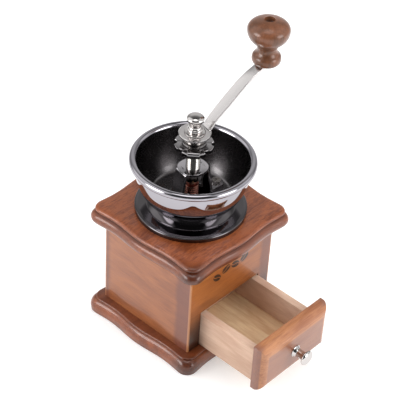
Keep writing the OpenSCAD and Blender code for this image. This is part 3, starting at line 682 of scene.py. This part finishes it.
UNDER_Z = FLOOR_Z - SHELL_T
z_out = np.linspace(WAIST_Z, RIM_Z - 2.8, 40)
z_in = np.linspace(RIM_Z - 0.6, FLOOR_Z + 4.6, 40)
wall_out = np.stack([bowl_r(z_out), z_out], -1)
lip = arc(RIM_R - LIP_R, RIM_Z, LIP_R, LIP_R, -100, 178, 28)
wall_in = np.stack([bowl_r(z_in) - SHELL_T, z_in], -1)
floor_edge = filleted([(*wall_in[-1], 0), (bowl_r(FLOOR_Z) - SHELL_T - 0.2, FLOOR_Z, 4.4),
                       (FEED_R + 1.2, FLOOR_Z, 0)], 10)[1:]
underside = [(FEED_R + 0.3, FLOOR_Z - 0.15), (FEED_R, FLOOR_Z - 0.6), (FEED_R, UNDER_Z),
             (bowl_r(UNDER_Z) - SHELL_T, UNDER_Z), (WAIST_R - SHELL_T, WAIST_Z), (WAIST_R, WAIST_Z)]
bowl_grid = turned(np.concatenate([wall_out, lip, wall_in, floor_edge, underside]), 160)
bowl = piece("hopper_bowl_spun", [(bowl_grid, True, True)], "mill", "hopper_bowl", [nickel_out_lightened, nickel_in_darkened],
             sharp=50).data
centres = np.empty(len(bowl.polygons) * 3)
bowl.polygons.foreach_get("center", centres)
centres = centres.reshape(-1, 3) / MM
centre_r = np.hypot(centres[:, 0], centres[:, 1])
centre_z = centres[:, 2]
on_wall = (centre_z < RIM_Z + 0.8) & (centre_r < bowl_r(centre_z) - SHELL_T * 0.6)
on_floor = (centre_z > FLOOR_Z - 0.5) & (centre_r < WAIST_R - 1)
bowl.polygons.foreach_set("material_index", (on_wall | on_floor).astype(np.int32))

foot_profile = filleted([
    (45.6, DECK_Z, 0), (47.2, DECK_Z, 0.2), (47.2, 120.2, 1.3), (44.0, 120.6, 0.8), (36.6, 120.3, 3.2),
    (33.2, 122.5, 0.9), (31.8, 123.4, 0.5), (31.2, 123.4, 0.3), (30.6, 122.0, 0.3), (31.2, 119.6, 0.3),
    (43.8, 118.2, 0.8), (45.6, DECK_Z, 0)], 6)[:-1]
piece("hopper_foot_spun", [(turned(foot_profile, 160), True, True)], "mill", "hopper_foot", [nickel_foot_darkened],
      sharp=50)

# ---------------------------------------------------------------- burrs

def fluted(profile, depths, twist):
    """Turned profile cut by slanting saw teeth: r = profile - depth saw(flutes a / 2 pi + twist z), where
    the saw rises over three quarters of a tooth and falls over the last."""
    profile = np.asarray(profile, float)
    a = circle(144)
    phase = (FLUTES * a[None, :] / (2 * math.pi) + twist * profile[:, 1:2]) % 1.0
    saw = np.where(phase < 0.75, phase / 0.75, (1 - phase) / 0.25)
    return carried_round(profile[:, 0:1] - np.asarray(depths)[:, None] * saw, a, profile[:, 1:2])


cone_z = np.linspace(CONE_LOW, CONE_HIGH, 40)
cone_r = np.interp(cone_z, [CONE_LOW, CONE_HIGH], [18.8, 8.0])
cone = np.concatenate([[[SHAFT_HOLE, CONE_LOW]], np.stack([cone_r, cone_z], -1), [[SHAFT_HOLE, CONE_HIGH]]])
piece("inner_burr_cut", [(fluted(cone, np.r_[0, np.full(40, 1.5), 0], 0.02), True, True)], "spindle",
      "inner_burr", [burr_iron])
bore_z = np.linspace(OUTER_HIGH, OUTER_LOW, 40)
bore_r = np.interp(bore_z, [OUTER_LOW, OUTER_HIGH], [20.0, 16.0])
plain = [[22.5, OUTER_LOW], [22.5, 120.4], [29.0, 120.4], [29.0, OUTER_HIGH]]
ring = np.concatenate([plain, np.stack([bore_r, bore_z], -1)])
piece("outer_burr_cut", [(fluted(ring, np.r_[0, 0, 0, 0, np.full(40, -1.2)], -0.02), True, True)], "mill",
      "outer_burr", [burr_iron])

# ---------------------------------------------------------------- bridge

def pressed_plate(outline, z0, z1, bore=0.0):
    """Flat plate: an outline in plan between two heights, its rims eased by small rounds, closed to its
    middle or to a round bore."""
    outline = np.asarray(outline, float)
    mid = outline.mean(0)
    out = outline - mid
    size = np.linalg.norm(out, axis=1, keepdims=True)
    inner = bore * out / size if bore else np.broadcast_to(mid, out.shape)
    rows = [np.c_[inner, np.full(len(out), z0)]]
    for inset, z in eased(z0, z1, 0.3, 3):
        rows.append(np.c_[mid + out * (1 - inset / size), np.full(len(out), z)])
    rows.append(np.c_[inner, np.full(len(out), z1)])
    return np.array(rows)


# top: an oval a little fuller than an ellipse, |x / BEND_R|^power + |2 y / BOSS_W|^power = 1
a = circle(120)
round_x = np.sign(np.cos(a)) * np.abs(np.cos(a)) ** (2 / OVAL_POWER)
round_y = np.sign(np.sin(a)) * np.abs(np.sin(a)) ** (2 / OVAL_POWER)
top_xy = np.stack([BEND_R * round_x, BOSS_W / 2 * round_y], -1)
top = pressed_plate(top_xy, BOSS_Z - BRIDGE_T, BOSS_Z, bore=BRIDGE_BORE)
shells = [(moved(top, turn=BRIDGE_TURN), True, True)]
half_t = BRIDGE_T / 2
leg_path = filleted([(BEND_R - 4.5, BOSS_Z - half_t, 0), (BEND_R - 0.9, BOSS_Z - half_t, 1.5),
                     (LEG_R - 1.1, FLOOR_Z + half_t, 1.5), (LEG_R + 3.0, FLOOR_Z + half_t, 0)])
leg = strip(leg_path, LEG_W, BRIDGE_T, 0.3)
ear_end = arc(EAR_R, 0, EAR_W / 2, EAR_W / 2, -90, 90, 25)
ear_xy = np.concatenate([ear_end, [(LEG_R - 2, EAR_W / 2), (LEG_R - 2, -EAR_W / 2)]])
ear = pressed_plate(ear_xy, FLOOR_Z, FLOOR_Z + BRIDGE_T)
for side in (0, math.pi):
    shells.append((moved(leg, turn=BRIDGE_TURN + side), False, True))
    shells.append((moved(ear, turn=BRIDGE_TURN + side), False, True))
piece("bridge_bent", shells, "mill", "bridge", [bridge_plate], sharp=40)

# ---------------------------------------------------------------- post, wheel, plate, collar

# thread: r falls by the thread's depth along a triangle wave of z / pitch - a / 2 pi
post_z = np.concatenate([[POST_LOW, POST_LOW + 0.1], np.arange(POST_LOW + 0.5, POST_HIGH - 0.4, 0.25),
                         [POST_HIGH - 0.1, POST_HIGH]])
a = circle(72)
phase = (post_z[:, None] / THREAD_PITCH - a[None, :] / (2 * math.pi)) % 1.0
post_r = THREAD_R - THREAD_DEEP * np.abs(phase * 2 - 1)
post_r[:2] = THREAD_END_R
post_r[-2:] = THREAD_END_R
thread = carried_round(post_r, a - TAB_TURN, post_z[:, None])
flat = np.where(post_z[:, None] > FLAT_LOW, FLAT_HALF, 99.0)
thread[..., 0] = np.clip(thread[..., 0], -flat, flat)
thread = moved(thread, turn=TAB_TURN)
bush_top = POST_LOW - 0.1
bush = turned([(SHAFT_HOLE, BUSH_LOW), (4.6, BUSH_LOW), (4.9, BUSH_LOW + 0.3), (4.9, bush_top)], 72)
post = np.concatenate([bush, thread, turned([(SHAFT_HOLE, POST_HIGH)], 72)])
piece("threaded_post_cut", [(post, True, True)], "mill", "threaded_post", [bright_steel],
      sharp=50)


def notched(angles):
    """Wheel's outline radius: the rim, cut by round notches centred a little outside it."""
    centre = WHEEL_R + NOTCH_OUT
    step = 2 * math.pi / NOTCHES
    off = (angles + step / 2) % step - step / 2
    inside = NOTCH_R ** 2 - (centre * np.sin(off)) ** 2
    cut = centre * np.cos(off) - np.sqrt(np.maximum(inside, 0))
    return np.where(inside > 0, np.minimum(WHEEL_R, cut), WHEEL_R)


a = circle(360)
rim = notched(a)
rims = [(rim - inset, z) for inset, z in (
    (WHEEL_EASE, 0), (0.2, 0.2), (0, WHEEL_EASE), (0, WHEEL_T - WHEEL_EASE), (0.2, WHEEL_T - 0.2),
    (WHEEL_EASE, WHEEL_T))]
bores = [(7.4, WHEEL_T), (WHEEL_BORE, WHEEL_T - 0.8), (WHEEL_BORE, 0.8), (7.4, 0)]
wheel = np.array([carried_round(r, a, WHEEL_Z + z) for r, z in rims + bores])
piece("adjusting_wheel_cut", [(moved(wheel, turn=TAB_TURN), True, True)], "adjusting", "adjusting_wheel",
      [dark_steel], sharp=40)

plate_top = PLATE_Z + PLATE_T
plate_ring = turned([(6.1, PLATE_Z), (9.6, PLATE_Z), (9.95, PLATE_Z + 0.3), (9.95, plate_top - 0.3),
                     (9.6, plate_top), (6.1, plate_top)], 72)
mid_z = PLATE_Z + PLATE_T / 2
tab_path = filleted([(7.0, mid_z, 0), (TAB_R, mid_z, 1.5), (TAB_R, WHEEL_Z + 0.9, 0)])
tab = moved(strip(tab_path, TAB_W, PLATE_T, 0.35), turn=TAB_TURN)
piece("lock_plate_bent", [(plate_ring, True, True), (tab, False, True)], "locking", "lock_plate",
      [dark_steel])

collar = turned([(6.3, COLLAR_Z), (7.6, COLLAR_Z), (8.0, COLLAR_Z + 0.4), (8.0, DISC_Z - 0.4), (7.6, DISC_Z),
                 (6.3, DISC_Z)], 72)
piece("thrust_collar_turned", [(collar, True, True)], "spindle", "thrust_collar", [bright_steel])

# ---------------------------------------------------------------- crank

disc = turned([(3.6, DISC_Z), (12.8, DISC_Z), (13.3, DISC_Z + 0.5), (13.3, DISC_TOP - 0.5), (12.8, DISC_TOP),
               (3.6, DISC_TOP)], 96)
arm_path = flowing([(6.0, 192.0), (10.2, 192.0), (13.2, 193.7), (16.9, 198.7), (24.3, 205.5), (31.0, 211.2),
                    (37.4, 216.8), (44.9, 223.0), (51.9, 227.9), (58.8, 231.6), (63.6, 233.7), (66.5, 234.0),
                    (CRANK_R, 234.0)], 90)
arm_w = np.interp(arm_path[:, 0], [6, 12, 18, 30, 45, 58, CRANK_R], [10.6, 10.0, 9.8, 11.0, 10.6, 9.5, 9.5])
arm = strip(arm_path, arm_w, ARM_T, 0.45)
eye_top = EYE_Z + ARM_T
eye = turned([(2.6, EYE_Z), (6.2, EYE_Z), (6.6, EYE_Z + 0.4), (6.6, eye_top - 0.4), (6.2, eye_top),
              (2.6, eye_top)], 48)
crank = []
for shell, ring_closed in ((disc, True), (arm, False), (moved(eye, at=(CRANK_R, 0, 0)), True)):
    crank.append((moved(shell, turn=CRANK_TURN), ring_closed, True))
piece("crank_arm_pressed", crank, "spindle", "crank_arm", [brushed_nickel], sharp=40)

washer = turned([(SHAFT_HOLE, DISC_TOP), (8.4, DISC_TOP), (8.8, DISC_TOP + 0.4), (8.6, DISC_TOP + 1.0),
                 (7.6, NUT_Z), (SHAFT_HOLE, NUT_Z)], 72)
piece("hub_washer_domed", [(washer, True, True)], "spindle", "hub_washer", [chrome])

nut_profile = np.concatenate([
    [[0, NUT_Z], [5.5, NUT_Z]],
    arc(4.75, NUT_Z + 1.65, 1.6, 1.55, -60, 75, 10),
    arc(6.6, NUT_Z + 5.0, 1.75, 1.9, 240, 168, 8),
    arc(0, BALL_Z, BALL_R, 6.2, -44, 0, 12),
    arc(0, BALL_Z, BALL_R, NUT_Z + NUT_H - BALL_Z, 6, 90, 16),
])
piece("ball_nut_turned", [(turned(nut_profile, 80), False, True)], "spindle", "ball_nut", [chrome],
      sharp=60)

# ---------------------------------------------------------------- spring

# a round wire carried along the helix (coil cos t, coil sin t, low + rise t)
t = np.linspace(0, SPRING_TURNS * 2 * math.pi, SPRING_TURNS * 40)
helix = carried_round(COIL_R, t, SPRING_LOW + (SPRING_HIGH - SPRING_LOW) * t / t[-1])
outward = carried_round(1.0, t, 0.0)
b = circle(12)[None, :, None]
upward = np.array([0, 0, 1.0])
coil = helix[:, None] + WIRE_R * (np.cos(b) * outward[:, None] + np.sin(b) * upward)
caps = [np.broadcast_to(helix[k, None], (1, 12, 3)) for k in (0, -1)]
coil = np.concatenate([caps[0], coil, caps[1]])[:, ::-1]
piece("burr_spring_wound", [(coil, False, True)], "spindle", "burr_spring", [copper_tinted_steel])

# ---------------------------------------------------------------- handle

handle_profile = np.concatenate([
    [[2.6, KNOB_Z], [9.6, KNOB_Z]],
    arc(9.1, KNOB_Z + 4.6, 3.0, 4.6, -62, 70, 14),
    arc(11.6, KNOB_Z + 13.6, 3.3, 4.6, 230, 150, 10),
    arc(0, KNOB_Z + 31.0, 17.5, 15.2, -50, 0, 16),
    arc(0, KNOB_Z + 31.0, 17.5, 9.5, 4, 74, 18),
    [[4.5, KNOB_Z + 40.35], [4.3, KNOB_Z + 39.9], [4.3, KNOB_Z + 34.2], [2.6, KNOB_Z + 34.2]],
])
handle = moved(turned(handle_profile), at=(CRANK_R * math.cos(CRANK_TURN), CRANK_R * math.sin(CRANK_TURN), 0))
piece("handle_turned", [(handle, True, True)], "handle", "handle_knob", [knob_wood], sharp=50)

# ---------------------------------------------------------------- drawer

def panel_rows():
    """Stacked rectangles of the drawer's front: quarter-round from the back edge to the face, wider at the
    top, with each side cut into parts, so that its long faces hold their shape."""
    parts = 12
    q = np.linspace(0, math.pi / 2, 13)
    shares = np.r_[0.0, 1 - np.cos(q)]
    depths = np.r_[0.0, PANEL_LIP + (PANEL_T - PANEL_LIP) * np.sin(q)]
    x = PANEL_W / 2 - 8.0 * shares
    y = PANEL_Y - depths
    z0 = PANEL_LOW + 7.5 * shares
    z1 = PANEL_LOW + PANEL_H - 11.0 * shares
    corners = [np.stack(corner, -1) for corner in ((-x, y, z0), (x, y, z0), (x, y, z1), (-x, y, z1))]
    rows = np.stack(corners, 1)
    f = np.linspace(0, 1, parts, endpoint=False)[None, None, :, None]
    return (rows[:, :, None] * (1 - f) + np.roll(rows, -1, 1)[:, :, None] * f).reshape(len(rows), -1, 3)


panel = panel_rows()
panel_mid = PANEL_LOW + PANEL_H / 2
back_mid = np.broadcast_to([0, PANEL_Y, panel_mid], (1, panel.shape[1], 3))
face_mid = np.broadcast_to([0, PANEL_Y - PANEL_T, panel_mid - 1.5], (1, panel.shape[1], 3))
panel = np.concatenate([back_mid, panel, face_mid])
# painted shade: the face and, deeper, the ends darkened to rosy brown
panel_shade = np.zeros(panel.shape[:2])
panel_shade[-2:] = 0.6
panel_shade[np.abs(panel[..., 0]) > PANEL_W / 2 - 1.5] = 0.85
piece("drawer_front_panel", [(panel, False, True)], "drawer", "drawer_front", [panel_wood],
      sharp=28, stain_and_shade=panel_shade)

back_y = PANEL_Y + DRAWER_LEN
inner_y = back_y - DRAWER_T
half_w = DRAWER_W / 2
in_w = half_w - DRAWER_T
low_z = DRAWER_LOW
top_z = low_z + DRAWER_H
sheet_z = low_z + SHEET_RISE
for name, node, low, high, finish in [
    ("drawer_left_board", "drawer_left_side", (-half_w, PANEL_Y, low_z), (-in_w, back_y, top_z), tray_wood),
    ("drawer_right_board", "drawer_right_side", (in_w, PANEL_Y, low_z), (half_w, back_y, top_z), tray_wood),
    ("drawer_back_board", "drawer_back", (-in_w, inner_y, low_z), (in_w, back_y, top_z), tray_wood),
    ("drawer_floor_sheet", "drawer_floor", (-in_w, PANEL_Y, sheet_z), (in_w, inner_y, sheet_z + SHEET_T),
     floor_wood),
]:
    piece(name, [(rounded_box(low, high), False, True)], "drawer", node, [finish])

pull = turned(np.concatenate([
    [[0, 0], [5.2, 0], [5.3, 0.7], [4.6, 1.2]],
    arc(5.2, 4.0, 1.6, 2.4, 240, 180, 5),
    [[3.55, 7.5], [3.7, 9.2], [4.6, 10.4]],
    arc(0, 11.8, 6.9, 1.6, -50, 0, 6),
    arc(0, 11.8, 6.9, 3.1, 6, 90, 14),
]), 64)
pull = np.stack([pull[..., 0], PANEL_Y - PANEL_T - pull[..., 2], PULL_Z + pull[..., 1]], -1)
piece("drawer_knob_turned", [(pull, False, True)], "drawer", "drawer_knob", [chrome],
      sharp=60)

# ---------------------------------------------------------------- carried-over solids

for node in ("base_screws", "bridge_screws", "burr_washer", "burr_nut", "handle_bolt", "drawer_knob_screw",
             "spindle_shaft"):
    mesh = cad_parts[node].data
    mesh.materials.clear()
    # the shaft's copper tint is a painted reflection of the wood
    mesh.materials.append(copper_tinted_steel if node == "spindle_shaft" else bright_steel)

# ---------------------------------------------------------------- floor

# metres; it lies just under the mill, so that the two faces don't flicker
PAPER_HALF = 6.0
PAPER_Z = -0.0003
floor = bpy.data.meshes.new("studio_floor")
floor.from_pydata([(-PAPER_HALF, -PAPER_HALF, PAPER_Z), (PAPER_HALF, -PAPER_HALF, PAPER_Z),
                   (PAPER_HALF, PAPER_HALF, PAPER_Z), (-PAPER_HALF, PAPER_HALF, PAPER_Z)],
                  [], [(0, 1, 2, 3)])
floor_obj = bpy.data.objects.new("studio_floor", floor)
bpy.context.scene.collection.objects.link(floor_obj)
# Seamless white paper: matt, and lifted toward white where the camera or a reflection sees it.
floor_mat, tree, _ = new_finish("white_paper_floor")
path = add(tree, "LightPath").outputs
mirrored = add(tree, "Math", operation="MAXIMUM", n0=path["Is Glossy Ray"], n1=path["Is Transmission Ray"])
seen = add(tree, "Math", operation="MAXIMUM", n0=path["Is Camera Ray"], n1=mirrored)
lift = add(tree, "Math", operation="MULTIPLY_ADD", n0=seen, n1=0.26, n2=0.12)
paper = add(tree, "BsdfPrincipled", Base_Color=tint("#e2e2e2"), Roughness=0.9, Emission_Color=(1, 1, 1, 1),
            Emission_Strength=lift)
add(tree, "OutputMaterial", Surface=paper)
floor.materials.append(floor_mat)

# ---------------------------------------------------------------- surroundings

# What reflections see: grey levels by height, first of the room, then of the side away from the camera; and
# in the room bright soft patches, each with its direction, the cosines where it starts and is full, and its
# level.
ROOM = [(0.0, 0.5), (0.10, 0.14), (0.4, 0.05), (0.8, 0.10), (1.0, 0.15)]
BACKDROP = [(0.0, 0.8), (0.60, 0.72), (0.78, 0.22), (0.95, 0.08)]
PATCHES = [
    ((-0.895, 0.352, 0.27), 0.94, 0.975, 7.0),      # left lamp
    ((0.211, -0.938, 0.27), 0.94, 0.975, 4.9),      # right lamp
    ((-0.559, 0.575, 0.6), 0.74, 0.9, 1.0),         # left screen
    ((0.483, -0.640, 0.6), 0.74, 0.9, 0.7),         # right screen
    ((-0.132, -0.113, 0.985), 0.94, 0.97, 2.2),     # overhead
]
DIFFUSE_LEVEL = 0.6

world = bpy.data.worlds.new("studio")
bpy.context.scene.world = world
world.use_nodes = True
tree = world.node_tree
tree.nodes.clear()
heading = add(tree, "TexCoord").outputs["Generated"]
height = add(tree, "SeparateXYZ", Vector=heading).outputs[2]


def facing(direction, low, high, level=1.0):
    """A level where the surroundings are looked at along a direction, from the cosine high up, easing to 0 at
    the cosine low."""
    direction = np.asarray(direction, float) / np.linalg.norm(direction)
    product = add(tree, "VectorMath", operation="DOT_PRODUCT", n0=heading, n1=tuple(direction))
    return add(tree, "MapRange", interpolation_type="SMOOTHSTEP", Value=product.outputs["Value"],
               From_Min=low, From_Max=high, To_Max=level)


greys = []
for stops in (ROOM, BACKDROP):
    shade = add(tree, "ValToRGB", Fac=height)
    knots = shade.color_ramp.elements
    while len(knots) < len(stops):
        knots.new(0.5)
    for knot, (at, level) in zip(knots, stops):
        knot.position = at
        knot.color = (level, level, level, 1)
    greys.append(shade.outputs["Color"])
# the backdrop stands behind the mill, and fades toward its two sides
to_right = facing((0.651, -0.759, 0), 0.2, 0.6)
to_left = facing((-0.651, 0.759, 0), 0.2, 0.6)
aside = add(tree, "Math", operation="ADD", n0=to_right, n1=to_left)
faded = add(tree, "Math", operation="MULTIPLY_ADD", n0=aside, n1=-0.6, n2=1.0)
behind = add(tree, "Math", operation="MULTIPLY", n0=facing((0.759, 0.651, 0), -0.05, 0.45), n1=faded)
surround = add(tree, "Mix", data_type="RGBA", n0=behind, n6=greys[0], n7=greys[1]).outputs[2]
for patch in PATCHES:
    surround = add(tree, "VectorMath", operation="ADD", n0=surround, n1=facing(*patch))
plain = add(tree, "Background", Color=(1, 1, 1, 1), Strength=DIFFUSE_LEVEL)
mirrored_room = add(tree, "Background", Color=surround, Strength=1.0)
white = add(tree, "Background", Color=(1, 1, 1, 1), Strength=1.0)
path = add(tree, "LightPath").outputs
mirrored = add(tree, "Math", operation="MAXIMUM", n0=path["Is Glossy Ray"], n1=path["Is Transmission Ray"])
lit = add(tree, "MixShader", Fac=mirrored, n1=plain, n2=mirrored_room)
shown = add(tree, "MixShader", Fac=path["Is Camera Ray"], n1=lit, n2=white)
add(tree, "OutputWorld", Surface=shown)

# ---------------------------------------------------------------- camera

FRAME_PX = 416
FOCAL_PX = 1416.56
SENSOR_MM = 36.0
azimuth = -49.36 * RAD
elevation = 38.97 * RAD
roll = 3.83 * RAD
# mm: the height looked at, how far the camera stands to the side of it, and how far off
AIM_Z = 115.75
ASIDE = 14.54
DISTANCE = 1183.64
back = np.array([math.sin(azimuth) * math.cos(elevation), -math.cos(azimuth) * math.cos(elevation),
                 math.sin(elevation)])
right = np.array([math.cos(azimuth), math.sin(azimuth), 0.0])
up = np.cross(back, right)
rolled_right = math.cos(roll) * right + math.sin(roll) * up
rolled_up = -math.sin(roll) * right + math.cos(roll) * up
eye_at = (np.array([0, 0, AIM_Z]) + ASIDE * right + DISTANCE * back) * MM
camera = bpy.data.cameras.new("camera")
camera.lens = FOCAL_PX / FRAME_PX * SENSOR_MM
camera.sensor_width = SENSOR_MM
camera.clip_start = 0.05
camera.clip_end = 50
camera_obj = bpy.data.objects.new("camera", camera)
pose = np.column_stack([rolled_right, rolled_up, back, eye_at])
camera_obj.matrix_world = Matrix([*pose.tolist(), [0, 0, 0, 1]])
bpy.context.scene.collection.objects.link(camera_obj)
bpy.context.scene.camera = camera_obj

# ---------------------------------------------------------------- lamps

toward = np.array([back[0], back[1], 0]) / math.hypot(back[0], back[1])
middle = Vector((0, 0, 0.12))        # what the lamps point at, metres
# to the camera's right, toward the camera and up, width and height, metres; power, watts
for name, side, ahead, high, width, tall, power in [
    ("left_softbox", -1.3, 0.3, 0.65, 1.5, 1.2, 17.5),
    ("right_softbox", 1.3, 0.3, 0.75, 1.5, 1.3, 19),
    ("top_softbox", 0.2, -0.4, 1.5, 1.7, 1.3, 7.5),
]:
    at = right * side + toward * ahead
    lamp = bpy.data.lights.new(name, "AREA")
    lamp.shape = "RECTANGLE"
    lamp.size = width
    lamp.size_y = tall
    lamp.energy = power
    lamp_obj = bpy.data.objects.new(name, lamp)
    lamp_obj.location = (at[0], at[1], high)
    lamp_obj.rotation_mode = "QUATERNION"
    lamp_obj.rotation_quaternion = (middle - lamp_obj.location).to_track_quat("-Z", "Y")
    lamp_obj.visible_glossy = False
    bpy.context.scene.collection.objects.link(lamp_obj)

bpy.context.scene.view_settings.view_transform = "Standard"
